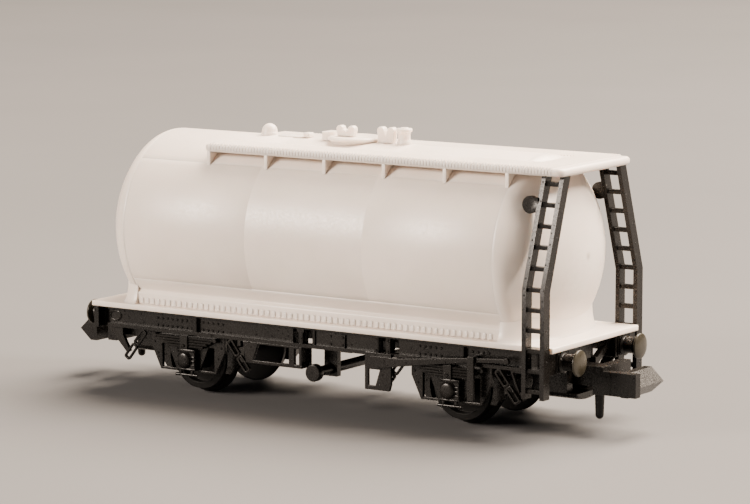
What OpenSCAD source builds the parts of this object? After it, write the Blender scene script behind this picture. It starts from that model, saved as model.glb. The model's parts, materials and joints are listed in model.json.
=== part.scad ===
// Four-wheel model tank wagon for 9 mm gauge track, with sprung hook couplings.
// x runs to the ladder end and z is up. The origin is under the middle of the wagon,
// at the level of the wheel flanges' lowest point. Heights in the modules are heights
// above the rail head, and above_rail() lifts them by the depth of the wheel flange.

/* [Tank] */
// Outside radius of the tank barrel
tank_r = 9.45; // [9.2:0.05:9.5]
// Height of the tank's axis above the rail head
tank_axis_z = 15.95; // [15.8:0.05:16.1]
// Distance from the middle to the barrel's front rim
barrel_front = 21; // [20.4:0.1:21.4]
// Distance from the middle to the barrel's rear rim
barrel_rear = 21.85; // [21:0.05:22]
// Depth of each dished end
dish_depth = 5; // [4.4:0.1:5]
// Radius of the knuckle between dished end and barrel
knuckle_r = 1.8; // [1.4:0.1:2.4]
// Wall thickness of the tank mouldings
shell_t = 0.9; // [0.7:0.1:1]

/* [Walkway and ladders] */
// Front edge of the walkway
walk_front = 26.94; // [26:0.02:26.94]
// Rear edge of the walkway, behind the middle
walk_rear = 14.04; // [12:0.02:16]
// Half the width of the walkway
walk_half = 6.69; // [6.2:0.01:7]
// Underside of the walkway above the rail head
walk_z = 24.1; // [24:0.05:24.3]
// Thickness of the walkway
walk_t = 0.8; // [0.6:0.1:0.9]
// Spacing of the ladder rungs
rung_pitch = 1.905; // [1.8:0.005:1.95]

/* [Underframe] */
// Half the length of the deck
deck_half = 26.95; // [26.6:0.05:27]
// Half the width of the deck
deck_side = 8.25; // [8:0.05:8.3]
// Underside of the deck above the rail head
deck_z = 7.8; // [7.6:0.05:7.9]
// Thickness of the deck
deck_t = 0.55; // [0.5:0.05:0.6]
// Half the distance between the axles
axle_x = 15.45; // [15:0.05:15.6]
// Half the length over the buffer heads
over_buffers = 28.73; // [28.5:0.01:29]

/* [Wheels] */
// Radius of the wheel tread
tread_r = 3.2; // [3:0.05:3.25]
// Depth of the wheel flange
flange_depth = 0.55; // [0.5:0.05:0.6]
// Half the distance between the wheel backs
back_half = 3.75; // [3.7:0.01:3.8]
// Radial clearance between the axle end and its bearing cup
axle_gap = 0.06; // [0.03:0.01:0.1]

/* [Couplings] */
// Swing pivot of each coupling, from the middle
coupling_pivot = 24.1; // [24:0.1:24.2]
// Reach of the coupling hook, from the middle
coupling_reach = 32.7; // [32:0.1:33]

/* [Hidden] */
$fn = 64;
eps = 0.02;
deck_top = deck_z + deck_t;
// Angles above the horizontal at which the barrel's wall is parted into its mouldings.
upper_seam = 48;
lower_seam = -31.5;
crown_off = tank_r - knuckle_r;
crown_r = (dish_depth * dish_depth + crown_off * crown_off - knuckle_r * knuckle_r)
    / (2 * (dish_depth - knuckle_r));
crown_angle = atan2(crown_off, crown_r - dish_depth);
crest_z = tank_axis_z + tank_r;
sole_bottom = 5.8;
sole_web = 7.45;
sole_face = 7.9;
sole_end = 25.2;
buffer_y = 5.85;
buffer_z = 6.76;
ladder_x = [24.3, 26.7];
ladder_y = 8.9;
ladder_top_y = 5.3;
ladder_bend_z = 13.7;
ladder_foot_z = 3.56;
flange_r = tread_r + flange_depth;
point_y = 7.3;

module above_rail() translate([0, 0, flange_depth]) children();
module turned() rotate([0, 0, 180]) children();
module far_side() mirror([0, 1, 0]) children();
module rear_end() mirror([1, 0, 0]) children();
// A block given by its two opposite corners.
module block(a, b) translate(a) cube(b - a);
// A profile drawn in y and z, run along x from x0 to x1.
module along_x(x0, x1) translate([x0, 0, 0]) rotate([90, 0, 90]) linear_extrude(x1 - x0) children();
// A profile drawn in x and z, run along y from y0 to y1.
module along_y(y0, y1) translate([0, y1, 0]) rotate([90, 0, 0]) linear_extrude(y1 - y0) children();
// Rods along y and along x.
module rod_y(x, y0, y1, z, r) translate([x, y0, z])
    rotate([-90, 0, 0]) cylinder(h = y1 - y0, r = r);
module rod_x(x0, x1, y, z, r) translate([x0, y, z])
    rotate([0, 90, 0]) cylinder(h = x1 - x0, r = r);

// Outline of the dished end from its axis out to the rim, t inside the outer surface.
function dish_points(t) = concat(
    [for (i = [0:12]) let (a = crown_angle * i / 12)
        [(crown_r - t) * sin(a), dish_depth - crown_r + (crown_r - t) * cos(a)]],
    [for (i = [1:8]) let (a = crown_angle + (90 - crown_angle) * i / 8)
        [crown_off + (knuckle_r - t) * sin(a), (knuckle_r - t) * cos(a)]]);

module dish_solid(t = 0) rotate([0, 90, 0]) rotate_extrude($fn = 96)
    polygon(concat([[0, -eps]], dish_points(t), [[tank_r - t, -eps]]));

module above_deck() intersection() {
    children();
    block([-30, -10, deck_top], [30, 10, 30]);
}

module tank_end() color("whitesmoke") above_rail() above_deck()
    translate([0, 0, tank_axis_z]) difference() {
        intersection() {
            dish_solid();
            block([0, -10, -10], [10, 10, 10]);
        }
        dish_solid(shell_t);
    }
module tank_end_front() translate([barrel_front, 0, 0]) tank_end();
module tank_end_rear() rear_end() translate([barrel_rear, 0, 0]) tank_end();

module barrel_ring() difference() {
    circle(tank_r, $fn = 96);
    circle(tank_r - shell_t, $fn = 96);
}
// The part of the barrel wall between two angles above the horizontal.
module wall_sector(a0, a1) intersection() {
    barrel_ring();
    polygon([[0, 0], [20 * cos(a0), 20 * sin(a0)],
        [20 * cos((a0 + a1) / 2), 20 * sin((a0 + a1) / 2)], [20 * cos(a1), 20 * sin(a1)]]);
}
module barrel_part(a0, a1) color("whitesmoke") above_rail()
    translate([0, 0, tank_axis_z]) along_x(-barrel_rear, barrel_front) wall_sector(a0, a1);
module tank_side_far() barrel_part(lower_seam, upper_seam);
module tank_side_near() far_side() tank_side_far();
module tank_top() barrel_part(upper_seam, 180 - upper_seam);

cradle_side = 7.5;
ledge_z = 9.5;
cradle_floor = deck_top + 0.5;
module tank_cradle() color("whitesmoke") above_rail() along_x(-barrel_rear, barrel_front)
    difference() {
        union() {
            translate([0, tank_axis_z]) intersection() {
                circle(tank_r, $fn = 96);
                polygon([[0, 0], [20 * cos(lower_seam), 20 * sin(lower_seam)],
                    [20, deck_top - tank_axis_z], [-20, deck_top - tank_axis_z],
                    [-20 * cos(lower_seam), 20 * sin(lower_seam)]]);
            }
            polygon([[-cradle_side, deck_top], [cradle_side, deck_top], [cradle_side, ledge_z],
                [cradle_side - 0.5, ledge_z + 0.45], [-cradle_side + 0.5, ledge_z + 0.45],
                [-cradle_side, ledge_z]]);
        }
        intersection() {
            translate([0, tank_axis_z]) circle(tank_r - shell_t, $fn = 96);
            translate([-10, cradle_floor]) square([20, 20]);
        }
    }

module deck() color("whitesmoke") above_rail()
    block([-deck_half, -deck_side, deck_z], [deck_half, deck_side, deck_top]);

// The barrel and front dish as one solid, to cut neighbours to its surface.
module tank_body() translate([0, 0, tank_axis_z]) {
    translate([-barrel_rear, 0, 0]) rotate([0, 90, 0])
        cylinder(h = barrel_rear + barrel_front, r = tank_r, $fn = 96);
    translate([barrel_front, 0, 0]) dish_solid();
}
bracket_pitch = 6.95;
bracket_y = walk_half - 0.09;
module walkway() color("whitesmoke") above_rail() difference() {
    union() {
        block([-walk_rear, -walk_half, walk_z], [walk_front, walk_half, walk_z + walk_t]);
        for (i = [0:5], s = [-1, 1])
            along_x(-walk_rear + i * bracket_pitch, -walk_rear + i * bracket_pitch + 0.35)
                polygon([[s * 4.4, walk_z + 0.1], [s * bracket_y, walk_z + 0.1],
                    [s * bracket_y, walk_z - 1.6], [s * 4.4, walk_z - 1.6]]);
    }
    tank_body();
}

lid_x = -0.4;
lid_r = 2.7;
lid_base = crest_z + 0.02;
hinge_front = -2.75;
// The barrel as a plain rod, to seat low fittings on its crest.
module barrel_rod() rod_x(-barrel_rear, barrel_front, 0, tank_axis_z, tank_r, $fn = 360);
module manhole_neck() color("whitesmoke") above_rail() difference() {
    translate([lid_x, 0, crest_z - 0.6]) cylinder(h = 0.62, r1 = 2, r2 = lid_r - 0.15);
    barrel_rod();
}
// Lid with a stepped top, cut straight where it meets its hinge block.
module manhole_lid() color("whitesmoke") above_rail() difference() {
    translate([lid_x, 0, lid_base]) {
        cylinder(h = 0.34, r = lid_r);
        cylinder(h = 0.42, r = lid_r - 0.15);
    }
    block([hinge_front - 1, -1.2, crest_z - 1], [hinge_front + 0.05, 0.6, crest_z + 1]);
}
module lid_hinge() color("whitesmoke") above_rail() difference() {
    block([hinge_front - 0.85, -1.1, crest_z - 0.2], [hinge_front, 0.5, crest_z + 0.8]);
    translate([lid_x, 0, crest_z - 1]) cylinder(h = 1.02, r = lid_r);
    tank_body();
}
// Two round lugs side by side with a deep notch between them.
fork_lug = 0.38;
module fork(w, h) along_y(-0.35, 0.35) difference() {
    union() {
        polygon([[0.12 - w / 2, 0], [w / 2 - 0.12, 0], [w / 2, h - fork_lug],
            [-w / 2, h - fork_lug]]);
        for (s = [-1, 1]) translate([s * (w / 2 - fork_lug), h - fork_lug]) circle(fork_lug);
    }
    polygon([[0, h * 0.35], [w * 0.15, h + 0.1], [-w * 0.15, h + 0.1]]);
}
module lid_fork() color("whitesmoke") above_rail()
    translate([lid_x - 0.7, -0.4, lid_base + 0.42]) fork(2.1, 1.05);
module valve_fork() color("whitesmoke") above_rail() difference() {
    translate([3.36, 0, crest_z - 0.1]) fork(1.92, 1.65);
    tank_body();
}
module relief_valve() color("whitesmoke") above_rail() difference() {
    translate([5.4, -0.1, crest_z - 0.1]) rotate_extrude() polygon([[0, 0], [0.72, 0], [0.72, 0.35],
        [0.6, 0.55], [0.6, 1.2], [0.78, 1.35], [0.78, 1.75], [0, 1.75]]);
    tank_body();
}
module vent_dome() color("whitesmoke") above_rail() difference() {
    translate([-10.65, 0, crest_z + 0.35]) sphere(0.78);
    tank_body();
}
module dip_plate() color("whitesmoke") above_rail() difference() {
    block([-9.2, -0.7, crest_z - 0.2], [-6.3, 0.7, crest_z + 0.08]);
    barrel_rod();
}
module dip_cap() color("whitesmoke") above_rail() difference() {
    block([-6.3, -0.5, crest_z - 0.1], [-5.55, 0.4, crest_z + 0.48]);
    barrel_rod();
}
module ballast_weight() color("slategray") above_rail()
    block([-16, -4, cradle_floor], [16, 4, cradle_floor + 1.8]);

// Distance of the ladder's middle plane from the centre line, at height z.
function ladder_at(z) = z < ladder_bend_z ? ladder_y
    : ladder_y + (ladder_top_y - ladder_y) * (z - ladder_bend_z) / (walk_z - ladder_bend_z);
rail_t = 0.45;
rail_d = 1.1;
module ladder_rail(x) along_x(x, x + rail_t) polygon([
    [ladder_y - rail_d / 2, ladder_foot_z], [ladder_y + rail_d / 2, ladder_foot_z],
    [ladder_y + rail_d / 2, ladder_bend_z + 0.09], [ladder_top_y + rail_d / 2 + 0.03, walk_z],
    [ladder_top_y - rail_d / 2 - 0.03, walk_z], [ladder_y - rail_d / 2, ladder_bend_z - 0.09]]);
lug_r = 0.83;
lug_x = 23.55;
lug_z = 21.4;
lug_y = [6.3, 6.8];
module ladder() color("#1b1a1a") above_rail() {
    ladder_rail(ladder_x[0]);
    ladder_rail(ladder_x[1] - rail_t);
    for (i = [0:10]) let (z = ladder_foot_z + 0.72 + i * rung_pitch)
        block([ladder_x[0] + 0.2, ladder_at(z) - 0.32, z - 0.2],
            [ladder_x[1] - 0.2, ladder_at(z) + 0.32, z + 0.2]);
    rod_y(lug_x, lug_y[0], lug_y[1], lug_z, lug_r);
    block([lug_x, lug_y[0], lug_z - 0.7], [ladder_x[0] + 0.1, lug_y[1], lug_z + 0.7]);
}
module ladder_far() ladder();
module ladder_near() far_side() ladder();

module chassis_floor() color("#1b1a1a") above_rail() {
    block([-sole_end, -7.1, deck_z - 0.7], [sole_end, 7.1, deck_z]);
    for (s = [-1, 1]) translate([0, s * 2.9, 0]) block([-20, -0.3, 5.8], [20, 0.3, deck_z - 0.7]);
}

// Side girder, drawn on the far side: web, flanges, straps, plate and openings in the web.
sole_lip = sole_bottom + 0.35;
strap_x = [-16.8, -8.52, -7.2, 1.6, 14.4];
module solebar() color("#1b1a1a") above_rail() difference() {
    union() {
        block([-sole_end, 7.1, sole_bottom], [sole_end, sole_web, deck_z]);
        block([-sole_end, 7.1, sole_bottom], [sole_end, sole_face, sole_lip]);
        block([-sole_end, 7.1, deck_z - 0.2], [sole_end, sole_face, deck_z]);
        for (x = strap_x) block([x - 0.25, 7.1, sole_bottom], [x + 0.25, sole_face - 0.05, deck_z]);
        block([1.2, 7.1, 7.3], [2, sole_face, deck_z]);
        block([-3.42, 7.1, sole_lip], [-1.6, sole_web + 0.2, deck_z - 0.4]);
        block([0.1, 7.1, sole_bottom], [0.3, sole_web + 0.15, deck_z]);
    }
    for (x = [-9.54, -8.2, 0.5, 2.1])
        block([x, 7, sole_lip], [x + 0.68, sole_web + 0.1, deck_z - 0.25]);
}
module solebar_far() solebar();
module solebar_near() turned() solebar();

// End beam with its coupling opening; the ends stand forward to carry the buffers.
module headstock() color("#1b1a1a") above_rail() {
    for (s = [-1, 1]) scale([1, s, 1]) {
        block([26, 4.36, 5.7], [26.6, 8.35, deck_z]);
        block([sole_end, 4.36, 5.7], [26, 7.3, deck_z]);
        along_x(sole_end, 25.8) polygon([[1.9, 5.3], [2.5, 5.3], [4.5, 6.5], [4.5, 7], [4.1, 7],
            [2.3, 6], [1.9, 6]]);
    }
    block([sole_end, -4.5, 6.9], [25.8, 4.5, deck_z]);
    block([sole_end, -1, 6.1], [25.8, 1, 7]);
}
module headstock_front() headstock();
module headstock_rear() rear_end() headstock();

module buffers() color("#2a2825") above_rail() for (s = [-1, 1])
    translate([26.6, s * buffer_y, buffer_z]) rotate([0, 90, 0]) rotate_extrude()
        polygon([[0, 0], [1.1, 0], [1.1, 0.25], [0.8, 0.35], [0.8, 1.35], [0.6, 1.4], [0.6, 1.7],
            [1.25, 1.75], [1.25, 1.9], [0.9, over_buffers - 26.64], [0.45, over_buffers - 26.61],
            [0.45, over_buffers - 26.6], [0, over_buffers - 26.6]]);
module buffers_front() buffers();
module buffers_rear() rear_end() buffers();

module at_wheel(s) translate([s * axle_x, 0, 0]) children();
// Axleguard plate on the far side with two legs and the boss that holds the bearing.
module axleguard() color("#1b1a1a") above_rail() difference() {
    union() {
        along_y(7.1, 7.5) difference() {
            polygon([[-4.5, sole_bottom], [4.5, sole_bottom], [4.5, 4.3], [3.4, 2], [-3.4, 2],
                [-4.5, 4.3]]);
            for (s = [-1, 1])
                polygon([[s * 3.2, 2.25], [s * 1.45, 2.25], [s * 2.5, 4.6], [s * 3.2, 4.6]]);
            translate([-1.2, 1]) square([2.4, 1.4]);
        }
        rod_y(0, 6.5, 7.3, tread_r, 1.2);
    }
    rod_y(0, 6, 8, tread_r, 0.75);
}
module axleguard_front_far() at_wheel(1) axleguard();
module axleguard_rear_far() at_wheel(-1) axleguard();
module axleguard_front_near() far_side() axleguard_front_far();
module axleguard_rear_near() far_side() axleguard_rear_far();

// Leaves stacked between the axleguard and the buckle, longest on top.
module leaf_spring() color("#1b1a1a") above_rail() {
    for (i = [0:3])
        block([-3.7 + 0.5 * i, 7.5, 5.35 - 0.27 * i], [3.7 - 0.5 * i, 8.1, 5.58 - 0.27 * i]);
    block([-0.35, 7.5, 4.4], [0.35, 8.05, 5.4]);
    block([-0.45, 8.1, 4.4], [0.45, 8.3, 5.75]);
}
module leaf_spring_front_far() at_wheel(1) leaf_spring();
module leaf_spring_rear_far() at_wheel(-1) leaf_spring();
module leaf_spring_front_near() far_side() leaf_spring_front_far();
module leaf_spring_rear_near() far_side() leaf_spring_rear_far();

module all_wheels() for (e = [-1, 1], s = [-1, 1]) scale([1, s, 1]) at_wheel(e) children();
module axleboxes() color("#1b1a1a") above_rail() all_wheels() {
    block([-0.85, 7.5, 2.3], [1.2, 8.15, 4.38]);
    rod_y(0, 8.15, 8.5, 3.27, 0.82);
    rod_x(-1.25, 1.5, 7.9, 1.75, 0.16);
    for (x = [-0.6, 0.8]) block([x - 0.15, 7.75, 1.75], [x + 0.15, 8.05, 2.35]);
}
// A flat rectangular link with rounded corners, w wide and h long.
module link_plate(w, h, r) {
    translate([-w / 2, r - h / 2]) square([w, h - 2 * r]);
    translate([r - w / 2, -h / 2]) square([w - 2 * r, h]);
    for (i = [-1, 1], j = [-1, 1]) translate([i * (w / 2 - r), j * (h / 2 - r)]) circle(r);
}
module link_loop() difference() {
    link_plate(0.78, 1.88, 0.22);
    link_plate(0.36, 1.46, 0.1);
}
// Two links hanging outwards from each end of each leaf spring.
link_lean = 38;
module suspension_links() color("#1b1a1a") above_rail() all_wheels() for (e = [-1, 1])
    translate([e * 6.35, 0, 4.2]) for (k = [-1, 1])
        along_y(7.55, 7.85) rotate(e * link_lean) translate([0, k * 0.96]) link_loop();
module bearing_cups() color("goldenrod") above_rail() all_wheels() difference() {
    union() {
        rod_y(0, 6.4, 6.5, tread_r, 1.05);
        rod_y(0, 6.5, 7.5, tread_r, 0.75);
    }
    translate([0, 6.3, tread_r]) rotate([-90, 0, 0])
        cylinder(h = point_y - 6.3 + axle_gap, r1 = 0.62, r2 = 0.1 + axle_gap);
}
// Shoe blocks on hangers, both sides of every wheel, just clear of the tread.
module brake_shoes() color("#1b1a1a") above_rail() all_wheels() for (e = [-1, 1]) scale([e, 1, 1]) {
    difference() {
        along_y(4.6, 5.7) polygon([[2.6, 1.8], [3.9, 1.8], [4.8, 3], [4.8, 4.6], [2.6, 4.6]]);
        rod_y(0, 4, 6, tread_r, tread_r + 0.3);
    }
    block([3.9, 4.8, 4.6], [4.5, 5.4, deck_z - 0.7]);
}
shaft_z = 3.42;
module brake_shaft() color("#1b1a1a") above_rail() {
    rod_y(0, -7.4, 7.4, shaft_z, 0.5);
    for (s = [-1, 1]) scale([1, s, 1]) rod_y(0, 7.4, 8.2, shaft_z, 0.85);
}
module shaft_hangers() color("#1b1a1a") above_rail() for (s = [-1, 1]) scale([1, s, 1])
    difference() {
        block([-0.75, 4.3, shaft_z - 0.75], [0.75, 5, deck_z - 0.7]);
        rod_y(0, 4, 6, shaft_z, 0.52);
    }

// Long brake lever on the far side, rising to its handle at the rear.
module brake_lever() color("#1b1a1a") above_rail() along_y(8.2, 8.5) {
    translate([-7.1, 5.2]) circle(0.65);
    polygon([[-7.1, 4.55], [-7.1, 5.85], [-10.2, 5.85], [-17.9, 6.65], [-21.9, 6.9], [-21.9, 6.5],
        [-17.9, 6.22], [-10.2, 5.1]]);
    translate([-22.05, 6.7]) circle(0.3);
}
module brake_lever_far() brake_lever();
module brake_lever_near() turned() brake_lever();
// Pivot bracket, guard strap and curved end bracket for each brake lever.
module lever_brackets() color("#1b1a1a") above_rail() for (a = [0, 180]) rotate([0, 0, a]) {
    along_y(sole_face, 8.2) difference() {
        polygon([[-9.1, sole_lip], [-6.1, sole_lip], [-6.1, 2.5], [-8.9, 2.5], [-9.1, 3.1]]);
        polygon([[-7.8, 4.5], [-6.5, 4.5], [-6.5, 2.9], [-7.3, 2.9]]);
    }
    block([-18.7, 8.5, 2.6], [-17.95, 8.8, 6.85]);
    block([-18.6, sole_web, 6.7], [-18.05, 8.6, 6.85]);
    along_y(7.1, 7.5) difference() {
        polygon([[-21.9, sole_bottom], [-24.2, sole_bottom], [-24.2, 4.6], [-23.4, 2.9],
            [-22.9, 2.9]]);
        polygon([[-22.2, 5.5], [-23.6, 5.5], [-23.6, 4.6], [-23, 3.6]]);
    }
}
// Open hanging frames with a deep inner post, and the braced end plate, on each side.
frame_low = 3.65;
frame_post = [1.45, 1.8];
module side_frames() color("#1b1a1a") above_rail() for (a = [0, 180]) rotate([0, 0, a]) {
    along_y(7.5, 7.9) difference() {
        polygon([[frame_post[0], sole_bottom], [8.5, sole_bottom], [8.1, frame_low],
            [frame_post[0], frame_low]]);
        polygon([[3, sole_bottom - 0.2], [6.7, sole_bottom - 0.2], [7.3, frame_low + 0.33],
            [3, frame_low + 0.33]]);
        polygon([[frame_post[1], sole_bottom - 0.2], [2.35, sole_bottom - 0.2],
            [2.35, frame_low + 0.33], [frame_post[1], frame_low + 0.33]]);
    }
    block([frame_post[0], 6.1, frame_low], [frame_post[1], 7.9, sole_bottom]);
    along_y(7.1, 7.5) polygon([[23.6, sole_bottom], [25.2, sole_bottom], [25.2, 5.4], [23.1, 3.2],
        [22.7, 3.4], [23.6, 5]]);
}

module axle() color("silver") above_rail() translate([0, 0, tread_r]) rotate([-90, 0, 0])
    rotate_extrude() polygon([[0, -point_y], [0.1, -point_y], [0.5, -6.5], [0.5, -6.3], [0.7, -6],
        [0.7, 6], [0.5, 6.3], [0.5, 6.5], [0.1, point_y], [0, point_y]]);
module axle_front() at_wheel(1) axle();
module axle_rear() at_wheel(-1) axle();
// Wheel on the far side, with its flange inwards and a dished web.
module wheel() color("#232222") above_rail() translate([0, 0, tread_r]) rotate([-90, 0, 0])
    rotate_extrude() polygon([[0.7, back_half], [flange_r - 0.2, back_half],
        [flange_r, back_half + 0.12], [flange_r, back_half + 0.2], [tread_r, back_half + 0.55],
        [tread_r, back_half + 1.75], [2.6, back_half + 1.75], [2.5, back_half + 1.1],
        [1.2, back_half + 1.1], [1.1, back_half + 1.9], [0.7, back_half + 1.9]]);
module wheel_front_far() at_wheel(1) wheel();
module wheel_rear_far() at_wheel(-1) wheel();
module wheel_front_near() far_side() wheel_front_far();
module wheel_rear_near() far_side() wheel_rear_far();

// Housing behind the headstock that holds the coupling's spring and tee-shaped tail.
module coupling_pocket() color("#1b1a1a") above_rail() difference() {
    block([20.2, -2.5, 3.05], [sole_end, 2.5, 7.1]);
    block([20.6, -2.1, 2.9], [24.85, 2.1, 6.5]);
    block([24.5, -1.4, 2.9], [26, 1.4, 6.15]);
}
module pocket_cover() color("#1b1a1a") above_rail()
    along_x(20.2, 26.2) polygon([for (i = [0:16]) [2.5 * cos(-180 * i / 16),
        3.05 + 0.75 * sin(-180 * i / 16)]]);
spring_z = 4.7;
module coupling_spring() color("silver") above_rail() difference() {
    rod_x(20.75, coupling_pivot - 0.6, 0, spring_z, 1.1);
    rod_x(20, 26, 0, spring_z, 0.8);
    for (i = [0:4]) translate([21.1 + i * 0.48, 0, spring_z]) rotate([0, 90, 0]) difference() {
        cylinder(h = 0.2, r = 1.3);
        cylinder(h = 0.2, r = 0.95);
    }
}
// Hook coupling: tee tail, shank, cross bar, side arm, bevelled hook finger and tail pin.
module coupling() color("#1b1a1a") above_rail() {
    rod_y(coupling_pivot, -1.5, 1.5, spring_z, 0.4);
    block([coupling_pivot, -1.1, 3.75], [28.2, 1.1, 5.65]);
    block([28.1, -2.7, 3.3], [29.2, 2.7, 6]);
    block([28.1, -2.7, 3.35], [coupling_reach, -1.8, 5.6]);
    along_y(-1.8, 2.8) polygon([[coupling_reach - 2.1, 3.1], [coupling_reach - 1.3, 3.1],
        [coupling_reach, 4.25], [coupling_reach - 1.3, 5.5], [coupling_reach - 2.1, 5.5]]);
    translate([28.6, -2.2, 1.36]) cylinder(h = 2.2, r1 = 0.4, r2 = 0.48);
    translate([28.6, -2.2, 1.36]) sphere(0.4);
}
module coupling_pocket_front() coupling_pocket();
module coupling_pocket_rear() turned() coupling_pocket();
module pocket_cover_front() pocket_cover();
module pocket_cover_rear() turned() pocket_cover();
module coupling_spring_front() coupling_spring();
module coupling_spring_rear() turned() coupling_spring();
module coupling_front() coupling();
module coupling_rear() turned() coupling();

deck();
tank_cradle();
tank_side_near();
tank_side_far();
tank_top();
tank_end_front();
tank_end_rear();
walkway();
manhole_neck();
manhole_lid();
lid_hinge();
lid_fork();
valve_fork();
relief_valve();
vent_dome();
dip_plate();
dip_cap();
ballast_weight();
ladder_near();
ladder_far();
chassis_floor();
solebar_near();
solebar_far();
headstock_front();
headstock_rear();
buffers_front();
buffers_rear();
axleguard_front_near();
axleguard_front_far();
axleguard_rear_near();
axleguard_rear_far();
leaf_spring_front_near();
leaf_spring_front_far();
leaf_spring_rear_near();
leaf_spring_rear_far();
axleboxes();
suspension_links();
bearing_cups();
brake_shoes();
brake_shaft();
shaft_hangers();
brake_lever_near();
brake_lever_far();
lever_brackets();
side_frames();
axle_front();
axle_rear();
wheel_front_near();
wheel_front_far();
wheel_rear_near();
wheel_rear_far();
coupling_pocket_front();
coupling_pocket_rear();
pocket_cover_front();
pocket_cover_rear();
coupling_spring_front();
coupling_spring_rear();
coupling_front();
coupling_rear();
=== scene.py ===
import json
from math import cos, pi, radians, sin

import bpy
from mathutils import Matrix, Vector


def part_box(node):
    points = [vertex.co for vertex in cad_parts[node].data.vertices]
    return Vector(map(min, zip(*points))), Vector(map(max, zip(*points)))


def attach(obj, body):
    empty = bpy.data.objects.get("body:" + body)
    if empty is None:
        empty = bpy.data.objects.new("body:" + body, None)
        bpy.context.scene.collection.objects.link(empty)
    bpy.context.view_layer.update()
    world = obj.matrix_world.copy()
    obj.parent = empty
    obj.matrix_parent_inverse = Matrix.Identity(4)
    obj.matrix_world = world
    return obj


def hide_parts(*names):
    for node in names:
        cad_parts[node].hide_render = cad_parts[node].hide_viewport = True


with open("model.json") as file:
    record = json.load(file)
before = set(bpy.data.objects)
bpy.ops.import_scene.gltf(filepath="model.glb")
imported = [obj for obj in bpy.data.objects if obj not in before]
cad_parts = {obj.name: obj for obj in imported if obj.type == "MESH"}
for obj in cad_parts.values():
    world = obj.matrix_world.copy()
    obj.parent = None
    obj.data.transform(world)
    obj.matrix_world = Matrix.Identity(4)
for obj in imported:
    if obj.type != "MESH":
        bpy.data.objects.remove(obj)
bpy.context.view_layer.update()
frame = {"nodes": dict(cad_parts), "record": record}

# X runs towards the ladder end, Y to the far side, and Z up from the wheel flanges' lowest point.
# Sizes inside the modelling functions are in millimetres, and times MM in metres.
MM = 0.001
X, Y, Z = Vector((1, 0, 0)), Vector((0, 1, 0)), Vector((0, 0, 1))


# ---------------------------------------------------------------- materials
# Texture scales, in features per metre.
CLOUD_SCALE, WAVE_SCALE, PIP_SCALE, STREAK_SCALE = 160, 420, 1900, 2600
COARSE_GRAIN, FINE_GRAIN = 4200, 6500
# Bump heights.
WAVE_HEIGHT, GRAIN_HEIGHT, PIP_HEIGHT, STREAK_HEIGHT = 0.03 * MM, 0.02 * MM, 0.04 * MM, 0.01 * MM
WAVE_STRENGTH, STREAK_STRENGTH = 0.25, 0.2
STYRENE_IOR = 1.55
GLOW_DEPTH = 0.6 * MM  # how far light spreads inside the white styrene
GLOW_TINT = (1.0, 0.85, 0.7)


def new_material(name):
    """A material with a Principled shader, and its nodes and links."""
    material = bpy.data.materials.new(name)
    material.use_nodes = True
    nodes, links = material.node_tree.nodes, material.node_tree.links
    return material, nodes, links, nodes["Principled BSDF"]


def object_noise(nodes, links, scale, detail=4, roughness=0.55):
    """A noise texture on Object coordinates."""
    place = nodes.new("ShaderNodeTexCoord")
    noise = nodes.new("ShaderNodeTexNoise")
    noise.inputs["Scale"].default_value = scale
    noise.inputs["Detail"].default_value = detail
    noise.inputs["Roughness"].default_value = roughness
    links.new(place.outputs["Object"], noise.inputs["Vector"])
    return noise


def ramp(nodes, links, source, stops):
    """A colour ramp over a texture's value; stops are (position, colour) pairs."""
    node = nodes.new("ShaderNodeValToRGB")
    elements = node.color_ramp.elements
    while len(elements) < len(stops):
        elements.new(0.5)
    for element, (position, colour) in zip(elements, stops):
        element.position = position
        element.color = (*colour, 1)
    links.new(source, node.inputs["Fac"])
    return node


def value_range(nodes, links, source, low, high):
    """The middle of a noise's range mapped to low to high."""
    node = nodes.new("ShaderNodeMapRange")
    node.inputs["From Min"].default_value = 0.3
    node.inputs["From Max"].default_value = 0.7
    node.inputs["To Min"].default_value = low
    node.inputs["To Max"].default_value = high
    links.new(source, node.inputs["Value"])
    return node


def bump(nodes, links, height, strength, distance, before=None):
    """A bump from a height, laid over an earlier bump where one is given."""
    node = nodes.new("ShaderNodeBump")
    node.inputs["Strength"].default_value = strength
    node.inputs["Distance"].default_value = distance
    links.new(height, node.inputs["Height"])
    if before:
        links.new(before.outputs["Normal"], node.inputs["Normal"])
    return node


def scattered_pips(nodes, links):
    """Small raised dots, scattered about half a millimetre apart."""
    dot_edge, dot_foot = 0.08, 0.18
    place = nodes.new("ShaderNodeTexCoord")
    cells = nodes.new("ShaderNodeTexVoronoi")
    cells.inputs["Scale"].default_value = PIP_SCALE
    links.new(place.outputs["Object"], cells.inputs["Vector"])
    dots = ramp(nodes, links, cells.outputs["Distance"],
                [(dot_edge, (1, 1, 1)), (dot_foot, (0, 0, 0))])
    return dots.outputs["Color"]


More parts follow.
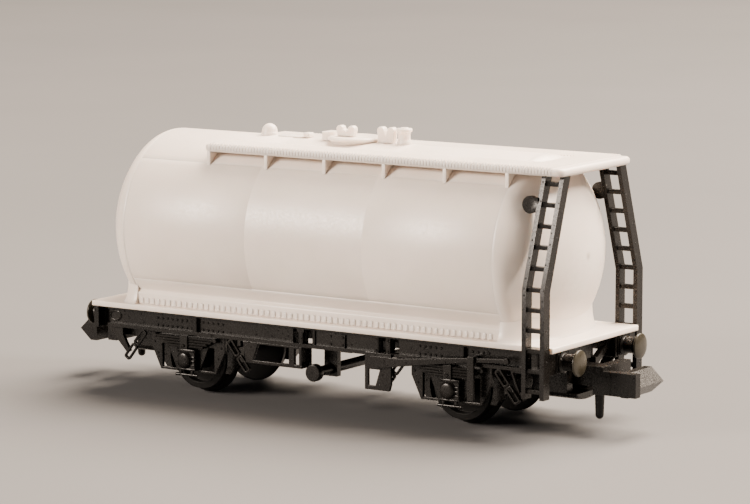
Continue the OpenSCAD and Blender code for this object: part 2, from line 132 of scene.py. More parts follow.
def moulded_plastic(name, light, dark, gloss, dull, grain, glow=0.0, shine=0.5,
                    speck=COARSE_GRAIN, pips=0.0):
    """Moulded plastic: cloudy colour, uneven gloss, a fine grain, slow waves and scattered pips."""
    material, nodes, links, shader = new_material(name)
    cloud = object_noise(nodes, links, CLOUD_SCALE, 3)
    fine = object_noise(nodes, links, speck, 5, 0.6)
    wave = object_noise(nodes, links, WAVE_SCALE, 2)
    colour = ramp(nodes, links, cloud.outputs["Fac"], [(0.35, dark), (0.65, light)])
    links.new(colour.outputs["Color"], shader.inputs["Base Color"])
    rough = value_range(nodes, links, fine.outputs["Fac"], gloss, dull)
    links.new(rough.outputs["Result"], shader.inputs["Roughness"])
    slow = bump(nodes, links, wave.outputs["Fac"], WAVE_STRENGTH, WAVE_HEIGHT)
    skin = bump(nodes, links, fine.outputs["Fac"], grain, GRAIN_HEIGHT, slow)
    if pips:
        skin = bump(nodes, links, scattered_pips(nodes, links), pips, PIP_HEIGHT, skin)
    links.new(skin.outputs["Normal"], shader.inputs["Normal"])
    shader.inputs["IOR"].default_value = STYRENE_IOR
    shader.inputs["Specular IOR Level"].default_value = shine
    if glow:
        shader.inputs["Subsurface Weight"].default_value = glow
        shader.inputs["Subsurface Radius"].default_value = GLOW_TINT
        shader.inputs["Subsurface Scale"].default_value = GLOW_DEPTH
    return material


def turned_metal(name, colour, rough):
    """Turned or drawn metal with a fine streaked grain."""
    darker, duller = 0.75, 0.15
    material, nodes, links, shader = new_material(name)
    streak = object_noise(nodes, links, STREAK_SCALE, 3)
    tone = ramp(nodes, links, streak.outputs["Fac"],
                [(0.3, [c * darker for c in colour]), (0.7, colour)])
    links.new(tone.outputs["Color"], shader.inputs["Base Color"])
    shader.inputs["Metallic"].default_value = 1
    dull = value_range(nodes, links, streak.outputs["Fac"], rough, rough + duller)
    links.new(dull.outputs["Result"], shader.inputs["Roughness"])
    cut = bump(nodes, links, streak.outputs["Fac"], STREAK_STRENGTH, STREAK_HEIGHT)
    links.new(cut.outputs["Normal"], shader.inputs["Normal"])
    return material


FINISHES = {
    "white_styrene": moulded_plastic("white styrene", (0.84, 0.75, 0.675), (0.78, 0.69, 0.615),
                                     gloss=0.3, dull=0.44, grain=0.12, glow=0.35),
    "black_styrene": moulded_plastic("black styrene", (0.007, 0.006, 0.0052),
                                     (0.0026, 0.0023, 0.002), gloss=0.2, dull=0.36, grain=0.2,
                                     shine=0.2, speck=FINE_GRAIN, pips=1.0),
    "wheel_plastic": moulded_plastic("wheel acetal", (0.006, 0.0055, 0.005), (0.003, 0.003, 0.0028),
                                     gloss=0.3, dull=0.42, grain=0.3, shine=0.1),
    "buffer_plastic": moulded_plastic("buffer styrene", (0.03, 0.0255, 0.0155),
                                      (0.015, 0.0125, 0.0075), gloss=0.24, dull=0.4, grain=0.3,
                                      shine=0.4),
    "bright_steel": turned_metal("turned steel", (0.62, 0.62, 0.64), rough=0.22),
    "spring_steel": turned_metal("spring wire", (0.5, 0.5, 0.52), rough=0.3),
    "ballast_steel": turned_metal("ballast plate", (0.4, 0.41, 0.43), rough=0.38),
    "brass": turned_metal("turned brass", (0.78, 0.6, 0.3), rough=0.25),
}
SLOT_OF = {part["node"]: part["material_slot"] for part in frame["record"]["subparts"]}
BODY_OF = {node: body for body, nodes in frame["record"]["behaviour"]["bodies"].items()
           for node in nodes}


def paint(piece, finish):
    """Gives a piece one finish."""
    piece.data.materials.clear()
    piece.data.materials.append(FINISHES[finish])


for node, piece in frame["nodes"].items():
    paint(piece, SLOT_OF[node])


# ---------------------------------------------------------------- modelling tools
SMOOTH_ANGLE = 32  # degrees: an edge sharper than this is a real edge
ROUND = 50  # the same, for round and soft pieces
MERGE, TRUE_FLAT = 0.0005 * MM, 0.05  # merging distance, and the angle in degrees of a flat join
SMALL_EDGE = 0.05  # the usual rounding of a moulded edge


def free():
    """Object mode with nothing selected."""
    if bpy.context.object and bpy.context.object.mode != "OBJECT":
        bpy.ops.object.mode_set(mode="OBJECT")
    bpy.ops.object.select_all(action="DESELECT")


def only(piece):
    """Object mode with one piece selected and active."""
    free()
    piece.select_set(True)
    bpy.context.view_layer.objects.active = piece


def finish_with(piece, *steps):
    """Adds modifiers given as (kind, settings) and applies them in order."""
    only(piece)
    for kind, settings in steps:
        modifier = piece.modifiers.new(kind.lower(), kind)
        for key, setting in settings.items():
            setattr(modifier, key, setting)
        bpy.ops.object.modifier_apply(modifier=modifier.name)


def round_edges(width, segments=2, angle=SMOOTH_ANGLE):
    """The bevel step that rounds the moulded edges."""
    return ("BEVEL", {"width": width * MM, "segments": segments, "limit_method": "ANGLE",
                      "angle_limit": radians(angle), "harden_normals": False})


def settle(piece, *nodes, smooth=SMOOTH_ANGLE):
    """Smooths a finished piece, gives it its finish and body, and lets it stand for its CAD nodes."""
    only(piece)
    bpy.ops.object.shade_smooth_by_angle(angle=radians(smooth))
    if SLOT_OF[nodes[0]] != "white_styrene":
        finish_with(piece, ("WEIGHTED_NORMAL", {"keep_sharp": True}))
    paint(piece, SLOT_OF[nodes[0]])
    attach(piece, BODY_OF[nodes[0]])
    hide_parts(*nodes)
    return piece


def cad_copy(node):
    """A merged copy of a CAD node with its flat faces made whole."""
    free()
    source = frame["nodes"][node]
    piece = bpy.data.objects.new(node + "_moulding", source.data.copy())
    bpy.context.collection.objects.link(piece)
    only(piece)
    bpy.ops.object.mode_set(mode="EDIT")
    bpy.ops.mesh.select_all(action="SELECT")
    bpy.ops.mesh.remove_doubles(threshold=MERGE)
    bpy.ops.mesh.dissolve_limited(angle_limit=radians(TRUE_FLAT))
    bpy.ops.mesh.normals_make_consistent(inside=False)
    bpy.ops.object.mode_set(mode="OBJECT")
    return piece


def refine(node, width=SMALL_EDGE, segments=2):
    """A CAD node as moulded, with its edges rounded."""
    piece = cad_copy(node)
    finish_with(piece, round_edges(width, segments))
    return settle(piece, node)


def begin_edit(piece, kind="FACE"):
    """Edit mode on one piece with nothing selected."""
    only(piece)
    bpy.ops.object.mode_set(mode="EDIT")
    bpy.ops.mesh.select_mode(type=kind)
    bpy.ops.mesh.select_all(action="DESELECT")


def end_edit():
    """Back to object mode."""
    bpy.ops.object.mode_set(mode="OBJECT")


def pick_faces(piece, wanted):
    """Edit mode with the faces selected whose middle and normal pass a test."""
    begin_edit(piece, "FACE")
    end_edit()
    for face in piece.data.polygons:
        face.select = wanted(face.center, face.normal)
    bpy.ops.object.mode_set(mode="EDIT")


def pick_edges(piece, wanted):
    """Edit mode with the edges selected whose middle and direction pass a test."""
    begin_edit(piece, "EDGE")
    end_edit()
    points = piece.data.vertices
    for edge in piece.data.edges:
        a, b = (points[i].co for i in edge.vertices)
        edge.select = wanted((a + b) / 2, (b - a).normalized())
    bpy.ops.object.mode_set(mode="EDIT")


def place_in_mesh():
    """Moves an object's place, turn and size into its mesh."""
    bpy.ops.object.transform_apply(location=True, rotation=True, scale=True)


def cuboid(name, low, high):
    """A cube between two corners, in metres."""
    free()
    size = [high[i] - low[i] for i in range(3)]
    middle = [(high[i] + low[i]) / 2 for i in range(3)]
    bpy.ops.mesh.primitive_cube_add(size=1, location=middle, scale=size)
    piece = bpy.context.object
    piece.name = name
    place_in_mesh()
    return piece


def slab(name, x, y, z):
    """A cube given by its span along each axis, in millimetres above the flange tips."""
    return cuboid(name, [v[0] * MM for v in (x, y, z)], [v[1] * MM for v in (x, y, z)])


def turned_piece(name, start, axis, stations, sides=32):
    """A round piece: a disc extruded along its axis and resized at each (distance, radius) in mm."""
    free()
    along, radius = stations[0]
    bpy.ops.mesh.primitive_circle_add(vertices=sides, radius=radius * MM, fill_type="NGON",
                                      location=start + axis * along * MM,
                                      rotation=Z.rotation_difference(axis).to_euler())
    piece = bpy.context.object
    piece.name = name
    place_in_mesh()
    begin_edit(piece, "FACE")
    bpy.ops.mesh.select_all(action="SELECT")
    for next_along, next_radius in stations[1:]:
        step = axis * (next_along - along) * MM
        bpy.ops.mesh.extrude_region_move(TRANSFORM_OT_translate={"value": step})
        along = next_along
        if next_radius == 0:
            bpy.ops.mesh.merge(type="CENTER")
        else:
            bpy.ops.transform.resize(value=[next_radius / radius] * 3,
                                     center_override=start + axis * along * MM)
            radius = next_radius
    bpy.ops.mesh.select_all(action="SELECT")
    bpy.ops.mesh.normals_make_consistent(inside=False)
    end_edit()
    return piece


def copied(piece, name, move=(0, 0, 0), turn=0.0, scale=(1, 1, 1)):
    """A copy with its own mesh, moved, turned about Z or mirrored in its mesh."""
    only(piece)
    bpy.ops.object.duplicate()
    twin = bpy.context.object
    twin.name = name
    twin.location = move
    twin.rotation_euler = (0, 0, turn)
    twin.scale = scale
    place_in_mesh()
    if scale[0] * scale[1] * scale[2] < 0:
        begin_edit(twin, "FACE")
        bpy.ops.mesh.select_all(action="SELECT")
        bpy.ops.mesh.normals_make_consistent(inside=False)
        end_edit()
    return twin


def joined(name, pieces):
    """Several pieces made one."""
    free()
    for piece in pieces:
        piece.select_set(True)
    bpy.context.view_layer.objects.active = pieces[0]
    bpy.ops.object.join()
    pieces[0].name = name
    return pieces[0]


def repeated(piece, step, count):
    """The piece in a row of copies, a step in metres apart."""
    finish_with(piece, ("ARRAY", {"use_relative_offset": False, "use_constant_offset": True,
                                  "constant_offset_displace": step, "count": count}))
    return piece


def cut_by(piece, cutter):
    """Cuts one piece away from another and removes the cutter."""
    finish_with(piece, ("BOOLEAN", {"operation": "DIFFERENCE", "solver": "EXACT", "object": cutter}))
    only(cutter)
    bpy.ops.object.delete()
    return piece


def domed_head(at, facing, radius=0.13, height=0.09, sides=8):
    """A rivet or bolt head standing on a face, with its foot sunk in it."""
    sunk, crown = 0.03, 0.55
    return turned_piece("head", at - facing * sunk * MM, facing,
                        [(0, radius), (sunk + height * 0.5, radius), (sunk + height, radius * crown)],
                        sides)


def both_sides(name, pieces):
    """The far side's pieces made one, and a copy turned half round to the near side."""
    far = joined(name + "_far", pieces)
    return far, copied(far, name + "_near", turn=pi)


AXLE_LOW, AXLE_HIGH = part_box("axle_front")
AXLE_X = (AXLE_LOW.x + AXLE_HIGH.x) / 2
AXLE_Z = (AXLE_LOW.z + AXLE_HIGH.z) / 2
END_LOW, END_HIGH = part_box("tank_end_front")
TANK_R = (END_HIGH.y - END_LOW.y) / 2
TANK_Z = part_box("tank_top")[1].z - TANK_R
DECK_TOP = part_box("deck")[1].z
WHEEL_ENDS = ("front_far", "rear_far", "front_near", "rear_near")
DONE = set()


def hand_in(piece, *nodes, smooth=SMOOTH_ANGLE):
    """Settles a piece and notes its CAD nodes as done."""
    DONE.update(nodes)
    return settle(piece, *nodes, smooth=smooth)


# ---------------------------------------------------------------- tank
GROOVE_LIP, GROOVE_BED = 0.16, 0.06
MOULD_JOINTS = (-7.2, 6.5)  # along X in mm


def hoop_groove(piece, x, depth=0.045):
    """A fine groove round a barrel panel, as two mould halves leave."""
    for offset in (-GROOVE_LIP, -GROOVE_BED, GROOVE_BED, GROOVE_LIP):
        begin_edit(piece, "FACE")
        bpy.ops.mesh.select_all(action="SELECT")
        bpy.ops.mesh.bisect(plane_co=(x + offset * MM, 0, 0), plane_no=X)
        end_edit()

    def in_groove(middle, normal):
        outward = Vector((0, middle.y, middle.z - TANK_Z)).normalized()
        return abs(middle.x - x) < GROOVE_BED * MM and normal.dot(outward) > 0.9
    pick_faces(piece, in_groove)
    bpy.ops.transform.shrink_fatten(value=-depth * MM)
    end_edit()


def barrel_panel(node):
    """A long panel of the barrel with its edges rounded and a groove at each mould joint."""
    piece = cad_copy(node)
    for x in MOULD_JOINTS:
        hoop_groove(piece, x * MM)
    finish_with(piece, round_edges(0.035, 2, 40))
    return hand_in(piece, node)


def tank_end(node):
    """A dished end with its rim rounded."""
    piece = cad_copy(node)
    finish_with(piece, round_edges(SMALL_EDGE, 2, 40))
    return hand_in(piece, node)


def plinth(name, x, outward):
    """The smooth skirt on which a dished end stands: a round plate squeezed to a half oval."""
    half, sweep, rise, squeeze, inset = 8.2, 0.7, 2.4, 0.46, 0.2
    centre = Vector((x, 0, DECK_TOP - 0.01 * MM))
    curve = [(rise * (1 - cos(t * pi / 14)), half - sweep * sin(t * pi / 14)) for t in range(8)]
    piece = turned_piece(name, centre, Z, curve, 72)
    begin_edit(piece, "FACE")
    bpy.ops.mesh.select_all(action="SELECT")
    bpy.ops.transform.resize(value=(squeeze, 1, 1), center_override=centre)
    bpy.ops.mesh.bisect(plane_co=(x - outward * inset * MM, 0, 0), plane_no=(outward, 0, 0),
                        clear_inner=True, use_fill=True)
    end_edit()
    return piece


def cradle():
    """The tank's base moulding, with a row of ribs along each ledge and a skirt at each end."""
    low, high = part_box("tank_cradle")
    piece = cad_copy("tank_cradle")
    finish_with(piece, round_edges(0.12, 3, 30))
    ledge_y, relief, pitch = 7.5, 0.1, 0.67
    first, width, foot, height = low.x / MM + 0.6, 0.38, DECK_TOP / MM + 0.08, 0.6
    rib = slab("cradle_rib", (first, first + width), (ledge_y - relief, ledge_y + relief),
               (foot, foot + height))
    finish_with(rib, round_edges(0.1, 3))
    repeated(rib, (pitch * MM, 0, 0), int((high.x - low.x) / (pitch * MM)) - 1)
    ribs = [rib, copied(rib, "cradle_rib_near", scale=(1, -1, 1))]
    skirts = [plinth("skirt_front", high.x, 1), plinth("skirt_rear", low.x, -1)]
    return hand_in(joined("tank_cradle_moulding", [piece, *ribs, *skirts]), "tank_cradle")


# ---------------------------------------------------------------- walkway
WALK_LOW, WALK_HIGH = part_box("walkway")
WALK_REAR, WALK_FRONT, WALK_TOP = WALK_LOW.x / MM, WALK_HIGH.x / MM, WALK_HIGH.z / MM
WALK_UNDER = WALK_TOP - 0.8
STRIP_Y = 3.15  # the inner edge of each footboard, beside the crest
PLATFORM = 36  # how far from the rear end the two footboards become one platform


def walkway_plate():
    """The flat plate with rounded corners and rounded edges."""
    corner, edge = 0.7, 0.34
    halfway = (WALK_TOP + WALK_UNDER) / 2 * MM
    plate = cuboid("walkway_plate", (WALK_LOW.x, WALK_LOW.y, WALK_UNDER * MM), WALK_HIGH)
    pick_edges(plate, lambda middle, along: abs(along.z) > 0.9)
    bpy.ops.mesh.bevel(offset=corner * MM, segments=6)
    end_edit()
    pick_edges(plate, lambda middle, along: (abs(along.z) < 0.1
                                             and abs(middle.z - halfway) > 0.1 * MM))
    bpy.ops.mesh.bevel(offset=edge * MM, segments=5)
    end_edit()
    return plate


def walkway_gussets():
    """Six brackets under each side of the walkway."""
    first, width, pitch = WALK_REAR + 0.4, 0.35, 6.87
    gusset = slab("gusset", (first, first + width), (4.4, 6.55), (WALK_UNDER - 1.35, WALK_UNDER + 0.1))
    repeated(gusset, (pitch * MM, 0, 0), 6)
    return joined("gussets", [gusset, copied(gusset, "gusset_near", scale=(1, -1, 1))])


def cut_to_barrel(piece):
    """Cuts away what would lie inside the barrel."""
    start = Vector((-30 * MM, 0, TANK_Z))
    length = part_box("tank_top")[1].x / MM + 30
    barrel = turned_piece("cutter", start, X, [(0, TANK_R / MM), (length, TANK_R / MM)], 128)
    return cut_by(piece, barrel)


def tread_rib(name, x, y, rounded=0.0):
    """One low rib across the walkway, narrower at its crest, rounded where it meets the edge."""
    width, sunk, proud, taper = 0.2, 0.55, 0.13, 0.5
    rib = slab(name, (x, x + width), y, (WALK_TOP - sunk, WALK_TOP + proud))
    if rounded:
        pick_edges(rib, lambda middle, along: (abs(along.x) > 0.9 and middle.y > 6 * MM
                                               and middle.z > WALK_TOP * MM))
        bpy.ops.mesh.bevel(offset=rounded * MM, segments=3)
        end_edit()
    pick_faces(rib, lambda middle, normal: normal.z > 0.9)
    bpy.ops.transform.resize(value=(taper, 1, 1))
    end_edit()
    return rib


def tread_ribs():
    """Ribs on both footboards, and ribs right across the platform."""
    first, pitch, rows = WALK_REAR + 0.75, 0.35, 103
    rib = tread_rib("tread_rib", first, (STRIP_Y, WALK_HIGH.y / MM + 0.06), 0.32)
    far_half = copied(rib, "platform_rib_far", move=(PLATFORM * MM, 0, 0))
    near_half = copied(far_half, "platform_rib_near", scale=(1, -1, 1))
    inner = STRIP_Y + 0.02
    middle_bar = tread_rib("platform_rib", first + PLATFORM, (-inner, inner))
    wide = joined("platform_rib", [far_half, near_half, middle_bar])
    repeated(rib, (pitch * MM, 0, 0), rows)
    repeated(wide, (pitch * MM, 0, 0), int((WALK_FRONT - WALK_REAR - PLATFORM - 1.6) / pitch))
    return [rib, copied(rib, "tread_rib_near", scale=(1, -1, 1)), wide]


def walkway():
    """The plate and its brackets, cut to the barrel, with the ribs on top."""
    plate, gussets = walkway_plate(), walkway_gussets()
    cut_to_barrel(plate)
    cut_to_barrel(gussets)
    finish_with(gussets, round_edges(SMALL_EDGE))
    return hand_in(joined("walkway_moulding", [plate, gussets, *tread_ribs()]), "walkway")


# ---------------------------------------------------------------- fittings on the crest
def centre_of(node):
    """The middle of a CAD node's foot."""
    low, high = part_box(node)
    return Vector(((low.x + high.x) / 2, (low.y + high.y) / 2, low.z))


def manhole_lid():
    """A round lid with a stepped rim, cut straight where it meets its hinge block."""
    low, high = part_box("manhole_lid")
    radius = (high.y - low.y) / 2 / MM
    foot = Vector((high.x - radius * MM, (low.y + high.y) / 2, low.z))
    steps = [(0, 0.16), (0.06, 0.05), (0.12, 0), (0.26, 0), (0.33, 0.05), (0.34, 0.14), (0.4, 0.17),
             (0.42, 0.25), (0.42, 0.6), (0.37, 0.68), (0.37, 2.2), (0.42, 2.3)]
    lid = turned_piece("manhole_lid_moulding", foot, Z,
                       [(up, radius - inward) for up, inward in steps] + [(0.42, 0)], 64)
    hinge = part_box("lid_hinge")[1].x
    notch = cuboid("cutter", (hinge - 1 * MM, -1.2 * MM, low.z - MM),
                   (hinge + 0.05 * MM, 0.6 * MM, high.z + MM))
    cut_by(lid, notch)
    return hand_in(lid, "manhole_lid", smooth=ROUND)


def relief_valve():
    """A short flanged body under a wide cap."""
    foot = centre_of("relief_valve")
    stations = [(0, 0.72), (0.27, 0.72), (0.36, 0.68), (0.5, 0.6), (1.08, 0.6), (1.18, 0.66),
                (1.25, 0.76), (1.3, 0.78), (1.5, 0.78), (1.56, 0.73), (1.57, 0.42), (1.65, 0.36),
                (1.66, 0)]
    piece = turned_piece("relief_valve_moulding", foot, Z, stations, 40)
    return hand_in(piece, "relief_valve", smooth=ROUND)


def vent_dome():
    """A half ball on a low collar."""
    low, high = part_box("vent_dome")
    radius = (high.x - low.x) / 2 / MM
    foot = centre_of("vent_dome")
    rise = (high.z - low.z) / MM - radius
    collar = [(0, 0.84), (0.24, 0.84), (0.3, 0.8), (0.36, radius * 0.98)]
    cap = [(rise + radius * sin(t * pi / 16), radius * cos(t * pi / 16)) for t in range(1, 8)]
    piece = turned_piece("vent_dome_moulding", foot, Z, collar + cap + [(rise + radius, 0)], 32)
    return hand_in(piece, "vent_dome", smooth=ROUND + 10)


def soft_block(node, width):
    """A small moulded block with broadly rounded edges."""
    piece = cad_copy(node)
    finish_with(piece, round_edges(width, 4, 28))
    return hand_in(piece, node, smooth=ROUND)


# ---------------------------------------------------------------- underframe
HEAD_RADIUS = 1.25  # of a buffer head
GUARD_FACE = 7.5  # the outer face of the axleguards


def rivet_rows(face_y, rows, spans, pitch=0.6):
    """Rows of rivet heads on the web's outer face, each span given by its two ends."""
    pieces = []
    for z in rows:
        for x0, x1 in spans:
            head = domed_head(Vector((x0 * MM, face_y, z * MM)), Y, 0.14, 0.1)
            pieces.append(repeated(head, (pitch * MM, 0, 0), int((x1 - x0) / pitch) + 1))
    return pieces


def bolts(face_y, across, heights, radius=0.13):
    """Six-sided bolt heads on a face, at every place across and every height."""
    return [domed_head(Vector((x * MM, face_y, z * MM)), Y, radius, 0.1, 6)
            for x in across for z in heights]


def tie_ring(face_y, x, z):
    """A flattened ring of wire against the web."""
    at = (x * MM, face_y, z * MM)
    free()
    bpy.ops.mesh.primitive_torus_add(major_radius=0.55 * MM, minor_radius=0.1 * MM, location=at,
                                     rotation=(pi / 2, 0, 0), major_segments=28, minor_segments=8)
    ring = bpy.context.object
    place_in_mesh()
    begin_edit(ring, "FACE")
    bpy.ops.mesh.select_all(action="SELECT")
    bpy.ops.transform.resize(value=(1.25, 1, 0.85), center_override=at)
    end_edit()
    return ring


def solebars():
    """The far girder with its rivets, bolts and ring, and the near one as its copy."""
    low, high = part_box("solebar_far")
    web, strap, foot = low.y + 0.35 * MM, high.y - 0.05 * MM, low.z / MM
    body = cad_copy("solebar_far")
    finish_with(body, round_edges(SMALL_EDGE))
    spans = ((-19.6, -17.4), (-14.3, -11.8), (11.2, 13.6), (15, 19.4))
    pieces = [body, *rivet_rows(web, (foot + 0.58, foot + 1.32), spans)]
    pieces += bolts(strap, (-8.52, -7.2), (foot + 0.5, foot + 1.6))
    pieces += bolts(web + 0.2 * MM, (-3.2, -1.82), (foot + 0.6, foot + 1.35))
    pieces.append(tie_ring(web, 24.5, foot + 1.1))
    for side, piece in zip(("far", "near"), both_sides("solebar_moulding", pieces)):
        hand_in(piece, "solebar_" + side)


def wheel_copies(name, piece):
    """The piece beside the front far wheel, and its copies at the other three wheels."""
    rear = copied(piece, name + "_rear", move=(-2 * AXLE_X, 0, 0))
    near = [copied(item, name + "_near", scale=(1, -1, 1)) for item in (piece, rear)]
    return [piece, rear, *near]


def axlebox_block(x, z):
    """The box, its crown and foot, its side ribs and the hangers of its keep bar."""
    rear, front, lip = x - 0.85, x + 1.2, 0.1
    top, underside = z + 1.15, z - 0.9
    body = slab("axlebox_body", (rear, front), (GUARD_FACE, 8.1), (underside, top))
    crown = slab("axlebox_crown", (rear - lip, front + lip), (GUARD_FACE, 8.2), (top - 0.3, top))
    foot = slab("axlebox_foot", (rear - lip, front + lip), (GUARD_FACE, 8.15),
                (underside - 0.08, underside + 0.12))
    ribs = [slab("axlebox_rib", (x + 0.82, front + lip), (7.6, 8.28), (z + dz, z + dz + 0.15))
            for dz in (-0.45, -0.05, 0.35)]
    hangers = [slab("keep_hanger", (x + dx - 0.15, x + dx + 0.15), (7.75, 8.05),
                    (z - 1.5, underside + 0.05)) for dx in (-0.6, 0.8)]
    block = joined("axlebox_parts", [body, crown, foot, *ribs, *hangers])
    finish_with(block, round_edges(0.06, 2))
    return block


def axleboxes():
    """A box with a round cover, a keep bar and two lug bolts, at each wheel."""
    x, z = AXLE_X / MM, AXLE_Z / MM
    block = axlebox_block(x, z)
    cover = turned_piece("axlebox_cover", Vector((x, 8.05, z + 0.07)) * MM, Y,
                         [(0, 0.88), (0.14, 0.88), (0.18, 0.82), (0.3, 0.8), (0.37, 0.74), (0.42, 0.6),
                          (0.45, 0.3), (0.45, 0)], 32)
    keep = turned_piece("keep_bar", Vector((x - 1.25, 7.9, z - 1.45)) * MM, X,
                        [(0, 0.1), (0.05, 0.16), (2.7, 0.16), (2.75, 0.1)], 16)
    lugs = [domed_head(Vector((x + dx, 8.18, z + 1.0)) * MM, Y, 0.12, 0.1, 6) for dx in (-0.75, 1.1)]
    piece = joined("axlebox", [block, cover, keep, *lugs])
    return hand_in(joined("axlebox_mouldings", wheel_copies("axlebox", piece)), "axleboxes")


def at_each_wheel(kind, piece):
    """Hands in a piece and its copies for the four CAD nodes of one kind."""
    for end, item in zip(WHEEL_ENDS, wheel_copies(kind, piece)):
        item.name = kind + "_moulding_" + end
        hand_in(item, kind + "_" + end)


def leaf_springs():
    """The leaves with their edges rounded, an eye at each end and a bolt under the buckle."""
    body = cad_copy("leaf_spring_front_far")
    finish_with(body, round_edges(SMALL_EDGE))
    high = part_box("leaf_spring_front_far")[1]
    top = high.z - 0.28 * MM
    eye_at, eye_y = 3.68 * MM, 7.45 * MM
    eyes = [turned_piece("spring_eye", Vector((AXLE_X + side * eye_at, eye_y, top)), Y,
                         [(0, 0.18), (0.04, 0.22), (0.66, 0.22), (0.7, 0.18)], 14)
            for side in (-1, 1)]
    bolt = domed_head(Vector((AXLE_X, high.y, top - 0.75 * MM)), Y, 0.2, 0.12, 6)
    at_each_wheel("leaf_spring", joined("leaf_spring_moulding", [body, *eyes, bolt]))


def axleguards():
    """The guard plates with their edges rounded and six rivets each."""
    body = cad_copy("axleguard_front_far")
    finish_with(body, round_edges(SMALL_EDGE))
    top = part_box("axleguard_front_far")[1].z
    heads = [domed_head(Vector((AXLE_X + side * dx * MM, GUARD_FACE * MM, top - dz * MM)), Y, 0.12, 0.08)
             for dx, dz in ((4.1, 0.45), (4.1, 1.1), (3.7, 2.2)) for side in (-1, 1)]
    at_each_wheel("axleguard", joined("axleguard_moulding", [body, *heads]))


def buffer_seat(face):
    """The square plate and four nuts behind a buffer, on the far side of the front beam."""
    wide, tall, thick, sunk = 1.15 * MM, 1.0 * MM, 0.12 * MM, 0.05 * MM
    plate = cuboid("buffer_seat", (face.x - sunk, face.y - wide, face.z - tall),
                   (face.x + thick, face.y + wide, face.z + tall))
    finish_with(plate, round_edges(SMALL_EDGE))
    nuts = [domed_head(face + Vector((thick, dy * MM, dz * MM)), X, 0.13, 0.1, 6)
            for dy in (-0.92, 0.92) for dz in (-0.78, 0.78)]
    return joined("buffer_seat", [plate, *nuts])


def headstocks():
    """The front beam with its two buffer seats, and the rear one as its mirror image."""
    body = cad_copy("headstock_front")
    finish_with(body, round_edges(0.06, 2))
    buffer_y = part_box("buffers_front")[1].y - HEAD_RADIUS * MM
    face = Vector((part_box("headstock_front")[1].x, buffer_y, AXLE_Z + 3.56 * MM))
    seat = buffer_seat(face)
    other = copied(seat, "buffer_seat_near", scale=(1, -1, 1))
    front = joined("headstock_moulding_front", [body, seat, other])
    rear = copied(front, "headstock_moulding_rear", scale=(-1, 1, 1))
    hand_in(front, "headstock_front")
    hand_in(rear, "headstock_rear")


def buffers():
    """A stepped stock and a domed head for each buffer."""
    low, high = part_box("buffers_front")
    base = Vector((low.x + 0.1 * MM, high.y - HEAD_RADIUS * MM, (low.z + high.z) / 2))
    reach = (high.x - low.x) / MM - 0.1
    stock = turned_piece("buffer_stock", base, X, [
        (0, 1.08), (0.16, 1.08), (0.24, 0.9), (0.3, 0.82), (1.1, 0.78), (1.16, 0.86), (1.3, 0.86),
        (1.34, 0.8), (1.34, 0.6), (1.6, 0.6)], 36)
    head = turned_piece("buffer_head", base, X, [
        (1.52, 0.5), (1.6, 0.72), (1.62, 1.18), (1.66, HEAD_RADIUS), (1.78, HEAD_RADIUS), (1.84, 1.22),
        (1.92, 1.05), (reach - 0.05, 0.8), (reach - 0.01, 0.5), (reach, 0.22), (reach, 0)], 48)
    for part, finish in ((stock, "black_styrene"), (head, "buffer_plastic")):
        pair = joined(part.name, [part, copied(part, "near_one", scale=(1, -1, 1))])
        rear = copied(pair, part.name + "s_rear", scale=(-1, 1, 1))
        pair.name = pair.name + "s_front"
        for end, item in (("front", pair), ("rear", rear)):
            hand_in(item, "buffers_" + end, smooth=35)
            paint(item, finish)


def wound_spring(end):
    """A coil wound with the screw modifier from a ring of the wire's section."""
    low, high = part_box("coupling_spring_" + end)
    wire, turns, steps = 0.14 * MM, 6, 28
    radius = (high.y - low.y) / 2 - wire
    length = high.x - low.x - 2 * wire
    free()
    bpy.ops.mesh.primitive_circle_add(vertices=10, radius=wire)
    coil = bpy.context.object
    coil.name = "coupling_spring_coil_" + end
    begin_edit(coil, "VERT")
    bpy.ops.mesh.select_all(action="SELECT")
    bpy.ops.transform.translate(value=(0, radius, 0))
    end_edit()
    finish_with(coil, ("SCREW", {"axis": "X", "angle": 2 * pi, "screw_offset": length / turns,
                                 "iterations": turns, "steps": steps, "render_steps": steps}))
    begin_edit(coil, "VERT")
    bpy.ops.mesh.select_non_manifold()
    bpy.ops.mesh.fill_holes(sides=0)
    bpy.ops.mesh.select_all(action="SELECT")
    bpy.ops.mesh.remove_doubles(threshold=0.001 * MM)
    bpy.ops.mesh.normals_make_consistent(inside=False)
    end_edit()
    coil.location = (low.x + wire, 0, (low.z + high.z) / 2)
    only(coil)
    place_in_mesh()
    hand_in(coil, "coupling_spring_" + end, smooth=60)


def couplings():
    """The front hook with a fine mould line, and the rear one turned half round."""
    body = cad_copy("coupling_front")
    finish_with(body, round_edges(0.1, 3, 30))
    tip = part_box("coupling_front")[1].x / MM
    z0 = AXLE_Z / MM
    seam = slab("mould_line", (tip - 2.75, tip - 2.6), (-2.73, -2.6), (z0 + 0.25, z0 + 2.3))
    finish_with(seam, round_edges(0.03, 2))
    front = joined("coupling_moulding_front", [body, seam])
    rear = copied(front, "coupling_moulding_rear", turn=pi)
    hand_in(front, "coupling_front")
    hand_in(rear, "coupling_rear")


def pocket_covers():
    """The covers under the coupling pockets, with their outer corners well rounded."""
    near = 0.01 * MM
    for end, outward in (("front", 1), ("rear", -1)):
        low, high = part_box("pocket_cover_" + end)
        tip = high.x if outward > 0 else low.x
        piece = cad_copy("pocket_cover_" + end)
        pick_edges(piece, lambda middle, along: (abs(middle.x - tip) < near
                                                 and middle.z < high.z - near))
        bpy.ops.mesh.bevel(offset=0.3 * MM, segments=5)
        end_edit()
        hand_in(piece, "pocket_cover_" + end, smooth=ROUND)


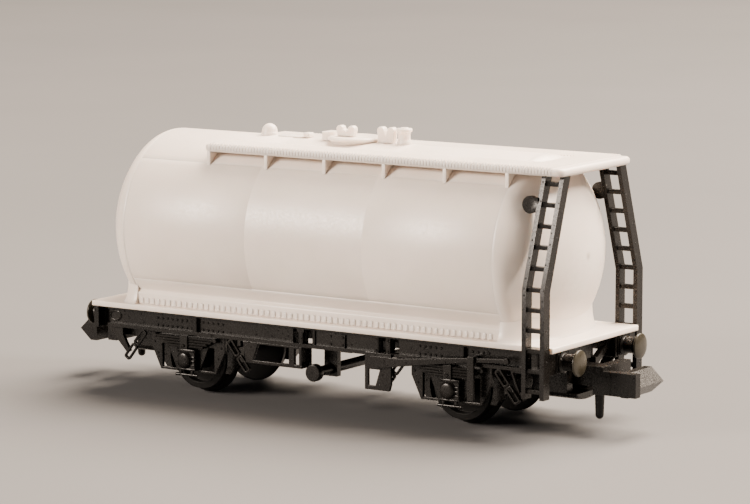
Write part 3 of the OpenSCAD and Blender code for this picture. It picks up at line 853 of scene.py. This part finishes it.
# ---------------------------------------------------------------- every piece in turn
for node in ("tank_top", "tank_side_near", "tank_side_far"):
    barrel_panel(node)
tank_end("tank_end_front")
tank_end("tank_end_rear")
cradle()
walkway()
manhole_lid()
relief_valve()
vent_dome()
for node, width in (("lid_fork", 0.1), ("valve_fork", 0.1), ("lid_hinge", 0.16), ("dip_cap", 0.12)):
    soft_block(node, width)
solebars()
axleboxes()
leaf_springs()
axleguards()
headstocks()
buffers()
for end in ("front", "rear"):
    wound_spring(end)
couplings()
pocket_covers()
WIDTHS = {"suspension_links": 0.09, "ladder_near": 0.09, "ladder_far": 0.09, "deck": 0.1,
          "brake_shaft": 0.1, "brake_lever_near": 0.08, "brake_lever_far": 0.08,
          "wheel_front_near": 0.07, "wheel_front_far": 0.07,
          "wheel_rear_near": 0.07, "wheel_rear_far": 0.07}
HIDDEN = ("ballast_weight", "bearing_cups")
for node in frame["nodes"]:
    if node not in DONE and node not in HIDDEN:
        refine(node, WIDTHS.get(node, SMALL_EDGE), 3 if node in WIDTHS else 2)


# ---------------------------------------------------------------- stage, light, camera
def area_light(name, at, aim, size, power, colour):
    """A square soft light at one point, facing another."""
    light = bpy.data.lights.new(name, "AREA")
    light.shape = "RECTANGLE"
    light.size = light.size_y = size
    light.energy = power
    light.color = colour
    lamp = bpy.data.objects.new(name, light)
    bpy.context.collection.objects.link(lamp)
    lamp.location = at
    lamp.rotation_mode = "QUATERNION"
    lamp.rotation_quaternion = (Vector(aim) - Vector(at)).to_track_quat("-Z", "Y")


def floor():
    """A plain pale floor."""
    free()
    bpy.ops.mesh.primitive_plane_add(size=4, location=(0, 0, 0))
    plane = bpy.context.object
    plane.name = "studio_floor"
    material, nodes, links, shader = new_material("pale card")
    tone = object_noise(nodes, links, 12, 3)
    colour = ramp(nodes, links, tone.outputs["Fac"],
                  [(0.3, (0.092, 0.092, 0.094)), (0.7, (0.1, 0.1, 0.102))])
    links.new(colour.outputs["Color"], shader.inputs["Base Color"])
    shader.inputs["Roughness"].default_value = 0.7
    plane.data.materials.append(material)


def lights():
    """A large warm panel behind and above, two small soft boxes, and a faint even sky."""
    world = bpy.data.worlds.new("studio")
    bpy.context.scene.world = world
    world.use_nodes = True
    sky = world.node_tree.nodes["Background"]
    sky.inputs["Color"].default_value = (1, 0.98, 0.95, 1)
    sky.inputs["Strength"].default_value = 0.1
    middle = (0, 0, 0.014)
    warm, pale = (1, 0.83, 0.67), (1, 0.86, 0.74)
    area_light("sky_panel", (0.25, 0.62, 1.0), middle, 1.0, 125, warm)
    area_light("side_box", (-0.28, -0.42, 0.2), middle, 0.16, 5.5, pale)
    area_light("end_box", (0.42, 0.16, 0.34), middle, 0.12, 5, pale)


def camera():
    """A long lens, a little above the tank's middle, from the near side of the ladder end."""
    data = bpy.data.cameras.new("camera")
    data.sensor_width = 36
    data.lens = 161.76
    data.clip_start, data.clip_end = 0.01, 20
    viewer = bpy.data.objects.new("camera", data)
    bpy.context.collection.objects.link(viewer)
    eye = Vector((181.5, -274.8, 61.25)) * MM
    aim = Vector((1.36, 0.85, 14.91)) * MM
    viewer.location = eye
    viewer.rotation_mode = "QUATERNION"
    viewer.rotation_quaternion = (aim - eye).to_track_quat("-Z", "Y")
    bpy.context.scene.camera = viewer


floor()
lights()
camera()
